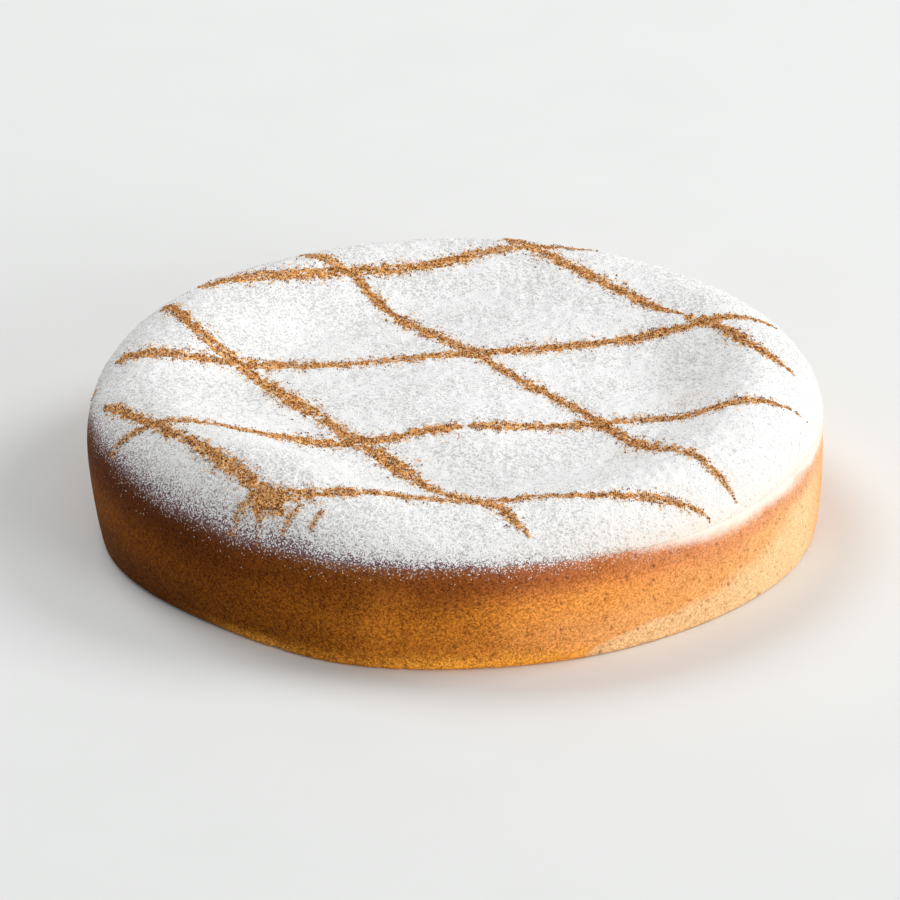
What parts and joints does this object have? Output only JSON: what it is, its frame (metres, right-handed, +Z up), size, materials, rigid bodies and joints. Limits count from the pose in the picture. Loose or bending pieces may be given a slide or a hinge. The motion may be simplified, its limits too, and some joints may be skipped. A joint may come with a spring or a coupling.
{
  "type": "ricotta cheesecake",
  "caption": "Whole round baked ricotta cheesecake, sunken in the middle, dusted with icing sugar and a lattice of ground cinnamon.",
  "frame": {"origin": "centre of the cake's flat underside", "axes": "+Z up through the cake, -Y towards the front, +X to the right as the cake is seen from the front"},
  "size_m": [0.2798, 0.2794, 0.0645],
  "materials": {
    "crust": "golden brown baked crust, matt and finely pored, darker just under the sugar",
    "icing_sugar": "dry white powder, finely grained",
    "cinnamon": "dry ground cinnamon, coarse orange brown grains; fused to the sugar in sugar_coat"
  },
  "bodies": {
    "root": {"cake_body": "crust", "sugar_coat": "icing_sugar"}
  },
  "joints": []
}
